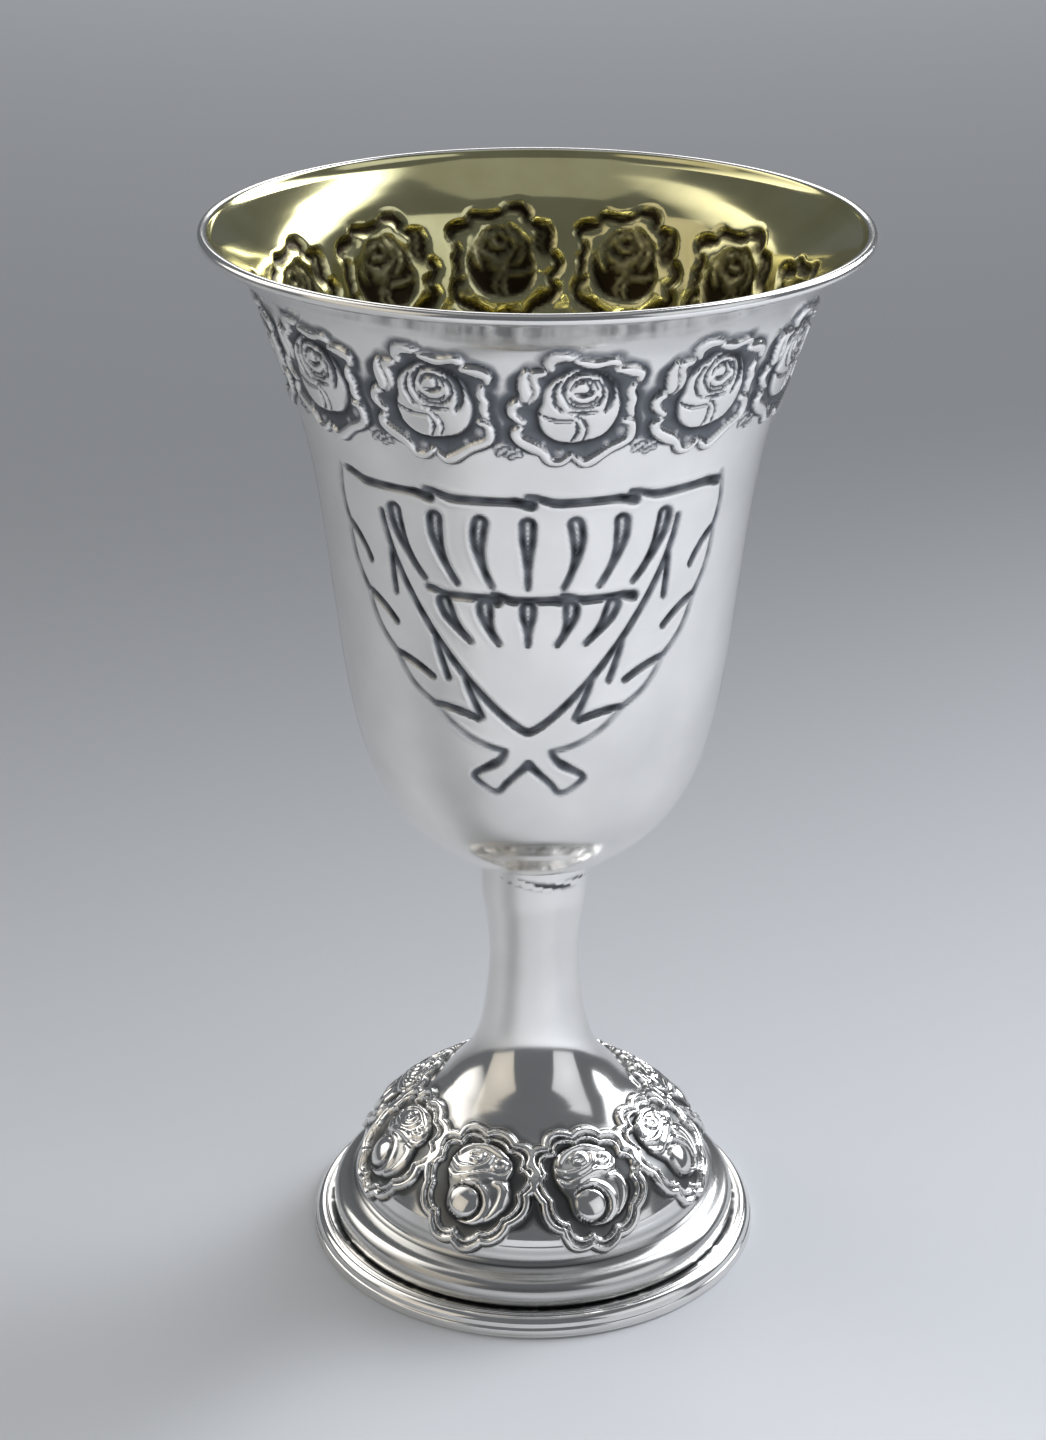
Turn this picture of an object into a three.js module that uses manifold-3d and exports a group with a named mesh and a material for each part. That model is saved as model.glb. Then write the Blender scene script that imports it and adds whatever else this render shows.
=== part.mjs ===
// A silver kiddush cup on a stem: a flared bowl pressed from one sheet, a hollow stem spun in
// one with its domed foot, and a moulded wire round the edge of the foot. Twelve roses stand
// in relief under the lip and eight on the foot. The front of the bowl carries a chased panel:
// two rows of shallow strokes between two leafy sprays whose stems cross at the bottom.
// Millimetres, +Z up. The origin is under the middle of the base, and -Y is the front.
import * as THREE from 'three';
import { mergeVertices } from 'three/addons/utils/BufferGeometryUtils.js';
import Module from 'manifold-3d';

const wasm = await Module();
wasm.setup();

// Driving dimensions.
const CUP_HEIGHT = 130;
const RIM_RADIUS = 38;
const BASE_RADIUS = 28.1;
const SOLDER_HEIGHT = 51.8; // the bowl sits on the stem here
const NECK_RADIUS = 6.5; // outside of the stem where it meets the bowl
const BOWL_SHEET = 0.6;
const FOOT_SHEET = 0.7;
const LIP_ROLL = 0.65; // radius of the rolled edge of the lip
const RING_HEIGHT = 2.6;
const RING_WIDTH = 3.8;
const BAND_RADIUS = 25.5; // upright band at the edge of the foot
const BAND_TOP = 5.0;
const ROUND = 36; // facets round the cup

// Outsides of the sheet before any relief, as [radius, height] knots of a smooth curve: the
// bowl from the stem up to the roll of its lip, and the foot from its cove up to the collar.
const BOWL_KNOTS = [
  [NECK_RADIUS, SOLDER_HEIGHT], [9.6, 53.1], [12.6, 55.1], [15.9, 58.2], [18.6, 62.2], [20.8, 68.2],
  [22.7, 78.0], [25.4, 100.0], [28.0, 112.0], [30.9, 121.3], [32.3, 124.3], [34.4, 126.5],
  [RIM_RADIUS - 0.8, CUP_HEIGHT - 1.3],
];
const FOOT_KNOTS = [
  [22.4, 7.2], [21.8, 10.0], [20.0, 13.0], [17.2, 15.6], [13.8, 18.1], [10.8, 21.0],
  [7.9, 24.8], [6.3, 30.0], [5.55, 38.0], [6.05, 44.0], [NECK_RADIUS, 46.3],
];
const COVE_KNOTS = [[24.7, 5.7], [23.3, 6.2]];

// Roses stand in a ring at a height, each radius wide to the tips of its leaves. Its edge sinks
// into the sheet that carries it, and the middle of its back lies bed deep in the sheet.
const BOWL_ROSES = { count: 12, firstAngle: 10, height: 117.6, radius: 6.9, rise: 0.75, bed: 0.3 };
const FOOT_ROSES = { count: 8, firstAngle: 22.5, height: 14.5, radius: 6.8, rise: 0.85, bed: 0.15 };
const ROSE_LOBES = 7; // scallops of the leafy collar, and petals of the head
const ROSE_SINK = 0.3;

// The panel on the front of the bowl: a scalloped line over each row of strokes, and a leafy
// spray up each side. Points are across from the panel's middle and up from the crossing of the
// stems, and the spray is given for one side. A tool cuts depth deep, from lift over the sheet.
const GROOVE = { width: 1.0, depth: 0.3, lift: 0.25 };
const PANEL = { angle: -2, crossing: 75.3 };
const PANEL_LINES = [
  { halfWidth: 23, height: 31.5, count: 4, sag: 0.9 },
  { halfWidth: 11.5, height: 19.4, count: 3, sag: 0.7 },
];
const PANEL_ROWS = [
  { count: 7, spacing: 4.6, middle: 24.2, length: 7.6 },
  { count: 5, spacing: 4.0, middle: 15.6, length: 4.4 },
];
const EDGE_WIDTH = 0.7; // the spray's outer edge is a finer line
const SPRAY_OUTSIDE = [[24, 31.5], [24.5, 18.7], [13.5, 3.7], [2.6, -0.3]];
const SPRAY_INSIDE = [[17.5, 27.5], [17.0, 17.0], [6.5, 8.6], [0, 2.4]];
const STEM_END = [[2.6, -0.3], [3.4, -2.0], [6.2, -4.2], [3.7, -6.2], [1.6, -3.2], [0, -2.1]];
const LEAVES_OUTSIDE = [0.2, 0.42, 0.62, 0.8];
const LEAVES_INSIDE = [0.1, 0.42, 0.7];
const LEAF_LENGTH = 4.6;
const LEAF_TURN = 0.45; // radians between a leaf's edge and the line that it starts from

const degrees = (angle) => angle * Math.PI / 180;

const pointsOf = (pairs) => pairs.map(([x, y]) => new THREE.Vector2(x, y));

// A smooth outline through knots of [radius, height].
const outline = (knots) => new THREE.SplineCurve(pointsOf(knots));

// The point at t of an outline, moved out of the sheet by offset.
function onOutline(curve, t, offset) {
  const { x, y } = curve.getPoint(t);
  const tangent = curve.getTangent(t);
  return new THREE.Vector2(x + tangent.y * offset, y - tangent.x * offset);
}

// Share of an outline's length at which it reaches a height.
function shareAtHeight(curve, height) {
  let low = 0;
  let high = 1;
  for (let step = 0; step < 24; step += 1) {
    const middle = (low + high) / 2;
    if (curve.getPointAt(middle).y < height) low = middle;
    else high = middle;
  }
  return (low + high) / 2;
}

// Points of an outline, evenly from knot to knot, moved out of the sheet by offset.
function stretch(curve, steps, offset = 0) {
  return Array.from({ length: steps + 1 }, (_, i) => onOutline(curve, i / steps, offset));
}

// A profile of [radius, height] points turned round the cup's axis, front facet line at -Y.
function turned(profile) {
  const geometry = new THREE.LatheGeometry(profile, ROUND);
  geometry.rotateX(Math.PI / 2);
  return geometry;
}

// A geometry as a solid for joining and cutting, and a solid back as a geometry.
function toSolid(geometry) {
  const bare = geometry.clone();
  bare.deleteAttribute('normal');
  bare.deleteAttribute('uv');
  const merged = mergeVertices(bare, 1e-4);
  return new wasm.Manifold(new wasm.Mesh({
    numProp: 3,
    vertProperties: new Float32Array(merged.attributes.position.array),
    triVerts: new Uint32Array(merged.index.array),
  }));
}

function toGeometry(solid) {
  const mesh = solid.getMesh();
  const geometry = new THREE.BufferGeometry();
  geometry.setAttribute('position', new THREE.BufferAttribute(new Float32Array(mesh.vertProperties), 3));
  geometry.setIndex(new THREE.BufferAttribute(new Uint32Array(mesh.triVerts), 1));
  geometry.computeVertexNormals();
  return geometry;
}

// Turns a place on the sheet into a point: across is measured round the cup from the line at
// angle, up along the outline from share, and lift out of the sheet.
function placer(curve, angle, share) {
  const length = curve.getLength();
  return (across, up, lift) => {
    const t = curve.getUtoTmapping(Math.min(Math.max(share + up / length, 0), 1));
    const turn = degrees(angle) + across / curve.getPoint(t).x;
    const { x, y } = onOutline(curve, t, lift);
    return new THREE.Vector3(x * Math.sin(turn), -x * Math.cos(turn), y);
  };
}

// A closed skin over rings of points, with a single point closing each end.
function skin(first, rings, last) {
  const count = rings[0].length;
  const points = [first, ...rings.flat(), last];
  const end = points.length - 1;
  const faces = [];
  for (let i = 0; i < count; i += 1) {
    const next = (i + 1) % count;
    faces.push(0, 1 + i, 1 + next);
    for (let ring = 0; ring < rings.length - 1; ring += 1) {
      const inner = 1 + ring * count;
      const outer = inner + count;
      faces.push(inner + i, outer + i, outer + next, inner + i, outer + next, inner + next);
    }
    const rim = end - count;
    faces.push(end, rim + next, rim + i);
  }
  const geometry = new THREE.BufferGeometry().setFromPoints(points);
  geometry.setIndex(faces);
  return geometry;
}

// One rose: a head of petals round a high middle that sits above its centre, a sunk ring
// round the head, and a scalloped collar of leaves. Shares are of the rose's radius, levels of
// its rise; lobes move every other point in and out, and petals move it up and down.
function rose(place, { radius, rise, bed }) {
  const middle = 0.2;
  const steps = [
    { share: 0.56, level: 0.75, lobes: 0.03, petals: 0.15, shift: middle / 2 },
    { share: 0.74, level: 0.1, lobes: 0, petals: 0, shift: 0 },
    { share: 0.9, level: 0.9, lobes: 0.06, petals: 0, shift: 0 },
    { share: 1.02, level: -ROSE_SINK / rise, lobes: 0.07, petals: 0, shift: 0 },
  ];
  const rings = steps.map(({ share, level, lobes, petals, shift }) => (
    Array.from({ length: 2 * ROSE_LOBES }, (_, i) => {
      const turn = i * Math.PI / ROSE_LOBES;
      const side = i % 2 === 0 ? 1 : -1;
      const reach = radius * (share + lobes * side);
      return place(
        reach * Math.cos(turn),
        reach * Math.sin(turn) + shift * radius,
        (level + petals * side) * rise,
      );
    })));
  return skin(place(0, middle * radius, rise), rings, place(0, 0, -bed));
}

function wreathOfRoses(curve, roses) {
  const share = shareAtHeight(curve, roses.height);
  return Array.from({ length: roses.count }, (_, i) => (
    toSolid(rose(placer(curve, roses.firstAngle + i * 360 / roses.count, share), roses))));
}

// A groove cut by a chasing tool along points of the panel, running out at its far end.
function groove(place, path, width = GROOVE.width) {
  const sections = path.map((point, i) => {
    const before = path[Math.max(i - 1, 0)];
    const after = path[Math.min(i + 1, path.length - 1)];
    const along = after.clone().sub(before).normalize();
    const isEnd = i === path.length - 1;
    const half = (isEnd ? 0.25 : 0.5) * width;
    const side = new THREE.Vector2(-along.y, along.x).multiplyScalar(half);
    return [
      place(point.x + side.x, point.y + side.y, GROOVE.lift),
      place(point.x - side.x, point.y - side.y, GROOVE.lift),
      place(point.x, point.y, isEnd ? -GROOVE.depth / 2 : -GROOVE.depth),
    ];
  });
  const faces = [0, 2, 1];
  for (let i = 0; i < sections.length - 1; i += 1) {
    for (let k = 0; k < 3; k += 1) {
      const a = 3 * i + k;
      const b = 3 * i + (k + 1) % 3;
      faces.push(a, b, b + 3, a, b + 3, a + 3);
    }
  }
  const end = 3 * (sections.length - 1);
  faces.push(end, end + 1, end + 2);
  const geometry = new THREE.BufferGeometry().setFromPoints(sections.flat());
  geometry.setIndex(faces);
  return toSolid(geometry);
}

// Points along a run of scallops that sag between cusps, as a ribbon's edge.
function scallops({ halfWidth, height, count, sag }) {
  const steps = 2 * count;
  return pointsOf(Array.from({ length: steps + 1 }, (_, i) => (
    [halfWidth * (2 * i / steps - 1), height - (i % 2) * sag])));
}

// A row of shallow upright strokes that lean apart from the middle, cut from the top down.
function strokeRow({ count, spacing, middle, length }) {
  return Array.from({ length: count }, (_, i) => {
    const across = (i - (count - 1) / 2) * spacing;
    const lean = across / count;
    return pointsOf([1, -1].map((end) => [across + lean * end, middle + end * length / 2]));
  });
}

// One side's leafy spray: its two edges, the cut end of its stem, and the lines between its
// leaves, which start on an edge and turn into the spray.
function sprayLines() {
  const outside = new THREE.CubicBezierCurve(...pointsOf(SPRAY_OUTSIDE));
  const inside = new THREE.CubicBezierCurve(...pointsOf(SPRAY_INSIDE));
  const leaf = (edge, start, turn) => {
    const from = edge.getPoint(start);
    const along = edge.getTangent(start).rotateAround(new THREE.Vector2(), turn);
    return { path: [from, from.clone().addScaledVector(along, LEAF_LENGTH)] };
  };
  return [
    { path: outside.getPoints(5), width: EDGE_WIDTH },
    { path: inside.getPoints(4) },
    { path: pointsOf(STEM_END) },
    ...LEAVES_OUTSIDE.map((start) => leaf(outside, start, -LEAF_TURN)),
    ...LEAVES_INSIDE.map((start) => leaf(inside, start, LEAF_TURN)),
  ];
}

// All the chased lines of the panel.
function panelLines() {
  const spray = sprayLines();
  const otherSpray = spray.map(({ path, width }) => (
    { path: pointsOf(path.map(({ x, y }) => [-x, y])), width }));
  return [
    ...PANEL_LINES.map((line) => ({ path: scallops(line) })),
    ...PANEL_ROWS.flatMap(strokeRow).map((path) => ({ path })),
    ...spray,
    ...otherSpray,
  ];
}

// The bowl, a sheet of even thickness whose lip ends in a small roll.
function makeBowl() {
  const outside = outline(BOWL_KNOTS);
  const lip = new THREE.Vector2(RIM_RADIUS - LIP_ROLL, CUP_HEIGHT - LIP_ROLL);
  const roll = [-45, 0, 45, 90].map((angle) => (
    new THREE.Vector2(LIP_ROLL, 0).rotateAround(new THREE.Vector2(), degrees(angle)).add(lip)));
  const knots = BOWL_KNOTS.length - 1;
  const inside = stretch(outside, knots, -BOWL_SHEET).slice(0, -1).reverse();
  const profile = [
    new THREE.Vector2(0, SOLDER_HEIGHT),
    ...stretch(outside, knots),
    ...roll,
    ...inside,
    new THREE.Vector2(0, SOLDER_HEIGHT + BOWL_SHEET),
  ];
  let bowl = toSolid(turned(profile));
  for (const one of wreathOfRoses(outside, BOWL_ROSES)) bowl = bowl.add(one);
  const place = placer(outside, PANEL.angle, shareAtHeight(outside, PANEL.crossing));
  for (const { path, width } of panelLines()) bowl = bowl.subtract(groove(place, path, width));
  return toGeometry(bowl);
}

// The stem and foot: one hollow shell, from a short collar under the bowl down the stem, out
// over the dome, and down a cove and an upright band to the wire.
function makeStemAndFoot() {
  const outside = outline(FOOT_KNOTS);
  const knots = FOOT_KNOTS.length - 1;
  const bandInside = BAND_RADIUS - FOOT_SHEET;
  const profile = [
    ...pointsOf([[bandInside, RING_HEIGHT], [BAND_RADIUS, RING_HEIGHT], [BAND_RADIUS, BAND_TOP]]),
    ...pointsOf(COVE_KNOTS),
    ...stretch(outside, knots),
    ...pointsOf([[NECK_RADIUS, SOLDER_HEIGHT], [NECK_RADIUS - FOOT_SHEET, SOLDER_HEIGHT]]),
    ...stretch(outside, knots / 2, -FOOT_SHEET).reverse(),
    ...pointsOf([[bandInside, BAND_TOP - FOOT_SHEET / 2], [bandInside, RING_HEIGHT]]),
  ];
  let foot = toSolid(turned(profile));
  for (const one of wreathOfRoses(outside, FOOT_ROSES)) foot = foot.add(one);
  return toGeometry(foot);
}

// The wire round the foot: a flat underside to stand on, a step low on its edge and a rounded
// bead above it. The foot's band stands on its top.
function makeBaseRing() {
  const inner = BASE_RADIUS - RING_WIDTH;
  return turned(pointsOf([
    [inner, 0], [BASE_RADIUS - 0.2, 0], [BASE_RADIUS, 0.3], [BASE_RADIUS, 1.0],
    [BASE_RADIUS - 0.3, 1.3], [BASE_RADIUS - 0.8, 2.3], [BASE_RADIUS - 1.6, RING_HEIGHT],
    [inner, RING_HEIGHT], [inner, 0],
  ]));
}

const cup = new THREE.Group();
for (const [name, geometry, roughness] of [
  ['bowl', makeBowl(), 0.3],
  ['stem_and_foot', makeStemAndFoot(), 0.15],
  ['base_ring', makeBaseRing(), 0.15],
]) {
  const silver = new THREE.MeshStandardMaterial({ color: 0xd8d8d6, roughness, metalness: 1 });
  const mesh = new THREE.Mesh(geometry, silver);
  mesh.name = name;
  cup.add(mesh);
}

export default cup;
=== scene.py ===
import bpy
import numpy as np
from mathutils import Matrix, Vector


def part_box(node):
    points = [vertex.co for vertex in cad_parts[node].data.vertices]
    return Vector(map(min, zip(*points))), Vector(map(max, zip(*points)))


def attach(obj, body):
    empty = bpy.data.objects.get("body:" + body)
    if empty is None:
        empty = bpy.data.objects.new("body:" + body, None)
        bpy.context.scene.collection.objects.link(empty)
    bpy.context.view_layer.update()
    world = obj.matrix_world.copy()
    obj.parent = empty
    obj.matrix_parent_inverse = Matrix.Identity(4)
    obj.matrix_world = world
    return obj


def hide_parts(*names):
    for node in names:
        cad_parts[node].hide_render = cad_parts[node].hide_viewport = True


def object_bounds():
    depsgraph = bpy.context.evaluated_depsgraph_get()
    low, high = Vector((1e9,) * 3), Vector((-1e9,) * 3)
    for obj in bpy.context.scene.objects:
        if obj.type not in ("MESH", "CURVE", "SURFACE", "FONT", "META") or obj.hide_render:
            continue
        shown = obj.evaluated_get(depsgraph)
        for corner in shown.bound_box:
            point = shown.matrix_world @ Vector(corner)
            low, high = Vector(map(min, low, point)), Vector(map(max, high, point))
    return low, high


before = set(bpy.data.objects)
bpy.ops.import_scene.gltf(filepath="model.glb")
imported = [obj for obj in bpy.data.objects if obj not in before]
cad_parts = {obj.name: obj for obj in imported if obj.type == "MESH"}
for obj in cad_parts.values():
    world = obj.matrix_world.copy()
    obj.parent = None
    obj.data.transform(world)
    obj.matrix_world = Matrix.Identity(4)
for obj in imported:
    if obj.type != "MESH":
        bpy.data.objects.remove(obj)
cad_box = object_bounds()

# ---------------------------------------------------------------------------------------------
# Bowl. It is pressed from one thin sheet of sterling silver and gilded inside. Twelve roses are
# struck round it from one die, their ground is blackened and their tops polished bright again,
# and a panel of leafy sprays and rows of strokes is chased on the front.
# ---------------------------------------------------------------------------------------------
def millimetres(length):
    """A length of the frame in millimetres, to the hundredth that it was drawn to."""
    return round(float(length) * 1000, 2)


CUP_HEIGHT = millimetres(cad_box[1][2])
RIM_RADIUS = millimetres(cad_box[1][0])
SOLDER_HEIGHT = millimetres(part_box("bowl")[0][2])  # the bowl sits on the stem here
NECK_RADIUS = 6.5  # outside of the stem where it meets the bowl
BOWL_SHEET = 0.6
LIP_ROLL = 0.65  # radius of the rolled edge
FINE = 0.31  # between the points of the mesh, where the work is finest

# The outside of the sheet, as (radius, height) from the stem up to the roll of the lip.
BOWL_KNOTS = [
    (NECK_RADIUS, SOLDER_HEIGHT), (9.6, 53.1), (12.6, 55.1), (15.9, 58.2), (18.6, 62.2),
    (20.8, 68.2), (22.7, 78.0), (25.4, 100.0), (28.0, 112.0), (30.9, 121.3), (32.3, 124.3),
    (34.4, 126.5), (RIM_RADIUS - 0.8, CUP_HEIGHT - 1.3),
]


def curve(points, steps=6):
    """Smooth line through points of any number of columns. Between two points it is the cubic
    whose slope at each is half the way from the point before to the point after."""
    p = np.asarray(points, float)
    before = np.vstack([p[:1], p[:-2]])
    after = np.vstack([p[2:], p[-1:]])
    start, end = p[:-1], p[1:]
    t = np.linspace(0, 1, steps, endpoint=False)[:, None, None]
    line = (
        (2 * t**3 - 3 * t**2 + 1) * start
        + (t**3 - 2 * t**2 + t) * (end - before) / 2
        + (3 * t**2 - 2 * t**3) * end
        + (t**3 - t**2) * (after - start) / 2
    )
    return np.vstack([line.swapaxes(0, 1).reshape(-1, p.shape[1]), p[-1:]])


def run_of(line):
    """How far along a line each of its points is."""
    return np.append(0, np.cumsum(np.hypot(*np.diff(line[:, :2], axis=0).T)))


def evenly(line, spacing):
    """A line's columns at even steps of its length, as near to the spacing as they divide it."""
    run = run_of(line)
    stops = np.linspace(0, run[-1], max(2, round(run[-1] / spacing) + 1))
    return np.column_stack([np.interp(stops, run, column) for column in line.T])


def outline(knots, offset, spacing):
    """Points along a smooth outline of (radius, height), moved out of the sheet by offset, with
    the direction out of the sheet at each, which is the outline's own turned a quarter: columns
    radius, height, outward radius and outward height."""
    line = curve(knots, 24)
    slope = np.gradient(line, run_of(line), axis=0)
    r, z, dr, dz = evenly(np.hstack([line, slope]), spacing).T
    size = np.hypot(dr, dz)
    return np.stack([r + offset * dz / size, z - offset * dr / size, dz / size, -dr / size], 1)


def between(low, high, values):
    """Rises smoothly from 0 to 1 as values go from low to high."""
    t = np.clip((values - low) / (high - low), 0, 1)
    return t * t * (3 - 2 * t)


def nearest(x, y, line):
    """For each (x, y), the distance to a line of straight steps and the line's half width at
    the nearest point. The line's columns are x, y and half width."""
    start, step = line[:-1], np.diff(line, axis=0)
    dx, dy = x[:, None] - start[:, 0], y[:, None] - start[:, 1]
    t = np.clip((dx * step[:, 0] + dy * step[:, 1]) / (step[:, :2] ** 2).sum(1), 0, 1)
    away = np.hypot(dx - t * step[:, 0], dy - t * step[:, 1])
    which = away.argmin(1)
    rows = np.arange(len(x))
    return away[rows, which], start[which, 2] + t[rows, which] * step[which, 2]


# The die of one rose of the bowl, seen from outside, from its middle. Each leaf of the collar is
# a ribbon of (across, up, half width), and so is each sprig between the roses. A bead is
# (across, up, radius). The head has an outline, and each edge of a petal in it is an arc: its
# middle across and up, its radius, the degrees that it runs from and to, and half its width.
BOWL_LEAVES = [
    [(-4.1, 5.0, 0.35), (-4.2, 5.7, 0.5), (-3.7, 6.3, 0.55), (-2.9, 6.5, 0.45), (-1.5, 6.3, 0.25)],
    [(-1.3, 5.9, 0.25), (-0.4, 5.6, 0.4), (0.6, 5.4, 0.4), (1.7, 5.6, 0.35), (2.6, 5.7, 0.4),
     (3.0, 5.2, 0.35), (3.1, 4.5, 0.25)],
    [(3.1, 4.6, 0.25), (4.0, 4.5, 0.45), (4.9, 4.3, 0.55), (5.6, 3.9, 0.45), (5.6, 3.2, 0.2)],
    [(4.9, 2.5, 0.2), (4.7, 1.6, 0.35), (5.0, 0.8, 0.35), (4.8, -0.1, 0.35), (5.0, -1.2, 0.25)],
    [(4.3, -1.7, 0.3), (5.0, -2.0, 0.35), (5.2, -2.9, 0.35), (5.0, -3.8, 0.35),
     (4.1, -4.4, 0.4), (3.0, -4.9, 0.4), (2.0, -5.6, 0.4), (0.8, -6.4, 0.45), (0.0, -6.5, 0.35),
     (-0.9, -5.7, 0.2)],
    [(-1.3, -5.5, 0.2), (-2.0, -6.2, 0.3), (-2.8, -6.4, 0.35), (-3.6, -6.1, 0.35),
     (-4.2, -5.2, 0.4), (-5.1, -4.6, 0.55), (-6.2, -4.0, 0.55), (-7.0, -3.4, 0.45),
     (-7.2, -2.7, 0.4), (-6.7, -2.1, 0.25)],
    [(-6.5, -1.5, 0.2), (-7.2, -1.0, 0.3), (-7.8, -0.3, 0.35), (-7.6, 0.5, 0.4),
     (-6.9, 1.0, 0.4), (-6.2, 1.4, 0.35)],
    [(-6.1, 1.2, 0.35), (-5.6, 1.9, 0.45), (-5.5, 2.7, 0.4), (-5.8, 3.4, 0.4),
     (-5.7, 4.2, 0.45), (-4.8, 4.5, 0.3)],
    [(-6.6, 4.6, 0.15), (-6.8, 3.8, 0.35), (-6.7, 2.8, 0.5), (-6.5, 2.0, 0.5), (-6.5, 1.4, 0.35)],
]
BOWL_SPRIGS = [
    [(5.5, -4.8, 0.12), (6.2, -4.4, 0.24), (7.0, -4.3, 0.12)],
    [(5.7, -5.6, 0.12), (6.5, -5.1, 0.24), (7.3, -5.0, 0.12)],
    [(7.0, -6.0, 0.12), (7.6, -5.6, 0.2), (8.1, -5.6, 0.12)],
    [(-8.2, -5.6, 0.12), (-7.5, -5.2, 0.24), (-6.7, -4.9, 0.12)],
]
BOWL_BEADS = [(-2.5, -5.2, 0.6), (3.9, -3.0, 0.6), (2.4, -4.2, 0.4), (-4.3, -4.1, 0.35)]
BOWL_HEAD = [
    (3.6, -0.6), (3.5, 0.8), (3.1, 2.3), (2.3, 3.6), (0.6, 4.6), (-0.9, 4.9), (-2.6, 4.3),
    (-4.1, 3.1), (-4.5, 1.8), (-4.6, 0.4), (-4.9, -0.5), (-4.7, -1.8), (-3.9, -3.2),
    (-2.4, -3.9), (-0.6, -4.0), (1.3, -3.5), (2.7, -2.6),
]
BOWL_PETALS = [
    (-1.3, 1.9, 2.28, 128, 246, 0.2), (-0.4, 2.3, 2.2, 118, 202, 0.24),
    (-0.4, 2.3, 2.1, 190, 338, 0.15), (-0.4, 2.4, 1.7, 205, 332, 0.13),
    (-0.3, 2.0, 2.6, 30, 142, 0.24), (-0.2, 1.6, 2.85, -46, 66, 0.4),
    (-0.3, 1.9, 2.0, -38, 64, 0.17), (-0.4, 2.3, 1.4, 5, 180, 0.2),
    (-0.5, 4.0, 2.1, 243, 308, 0.2), (-0.5, 2.6, 0.75, -65, 65, 0.14),
    (-2.2, 3.4, 4.65, 234, 283, 0.13), (-2.6, -2.4, 1.85, -48, 34, 0.17),
    (-1.7, -2.5, 1.93, -38, 74, 0.13), (-0.4, 5.0, 5.35, 252, 289, 0.12),
]


def arcs(x, y, edges):
    """Depth, from 0 to 1, of tool cuts along arcs that thin out towards both ends. A cut is
    steep on the arc's outer side and leans back into the petal on its inner side."""
    middle_x, middle_y, radius, start, end, half = np.array(edges, float).T
    dx, dy = x[:, None] - middle_x, y[:, None] - middle_y
    sweep = (end - start) % 360
    turn = (np.degrees(np.arctan2(dy, dx)) - start + 180 - sweep / 2) % 360 - 180 + sweep / 2
    width = 0.04 + half * np.clip(np.sin(np.pi * np.clip(turn / sweep, 0, 1)), 0, 1) ** 0.5
    out = (np.hypot(dx, dy) - radius) / width
    across = np.where(out > 0, out, -out / 1.5)
    ends = between(-3, 5, np.minimum(turn, sweep - turn))
    return (ends * np.clip(1 - across**2, 0, 1)).max(1)


def reach(x, y, outline_points):
    """How far (x, y) is outside a closed outline, measured from the middle, and where it is
    from the middle, 0, to the outline, 1. Of points in like directions the furthest counts."""
    points = np.asarray(outline_points, float)[:, :2]
    middle = points.mean(0)
    points = points - middle
    around = np.radians(np.arange(0, 360, 5))
    turns = np.arctan2(points[:, 1], points[:, 0])
    apart = np.abs((turns - around[:, None] + np.pi) % (2 * np.pi) - np.pi)
    edge = np.where(apart < np.radians(9), np.hypot(*points.T), 0).max(1)
    dx, dy = x - middle[0], y - middle[1]
    edge = np.interp(np.arctan2(dy, dx), around, edge, period=2 * np.pi)
    away = np.hypot(dx, dy)
    return away - edge, away / edge


KNOTS_AT_MOST = 40  # a line of more points than this is a curve already


def ribbons(x, y, lines, widening=1.0):
    """Height, from 0 to 1, of round-topped ribbons, and the distance outside the nearest. Each
    ribbon lies over those before it, and a tool has cut a line round it into them. Lines of few
    points are smoothed first."""
    top = np.zeros(len(x))
    gap = np.full(len(x), np.inf)
    for line in lines:
        away, half = nearest(x, y, curve(line) if len(line) < KNOTS_AT_MOST else line)
        half = half * widening
        tool_line = np.exp(-(((away - half - 0.08) / 0.17) ** 2))
        top = np.maximum(top * (1 - 0.7 * tool_line), between(half + 0.2, half * 0.4, away))
        gap = np.minimum(gap, away - half)
    return top, gap


def closed(points, steps=6):
    """A smooth closed line through points. The stretches before the first point and after the
    last only steer the line's ends, so they are cut off again."""
    return curve(np.vstack([points[-1:], points, points[:2]]), steps)[steps:-steps]


# Heights in a die, as shares of the rose's rise.
RIBBON_HEIGHT = 0.85
BEAD_HEIGHT = 0.55
SPRIG_HEIGHT = 0.3
RIDGE_HEIGHT = 0.3  # over the dome of the head
DOME_BULGE = 0.25  # of the head's middle over its edge
CUT_DEPTH = 0.6


def fading(gap, distance):
    """1 up to an edge, and beyond it the exponential that falls to a third in the distance."""
    return np.exp(-np.clip(gap, 0, None) / distance)


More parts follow.
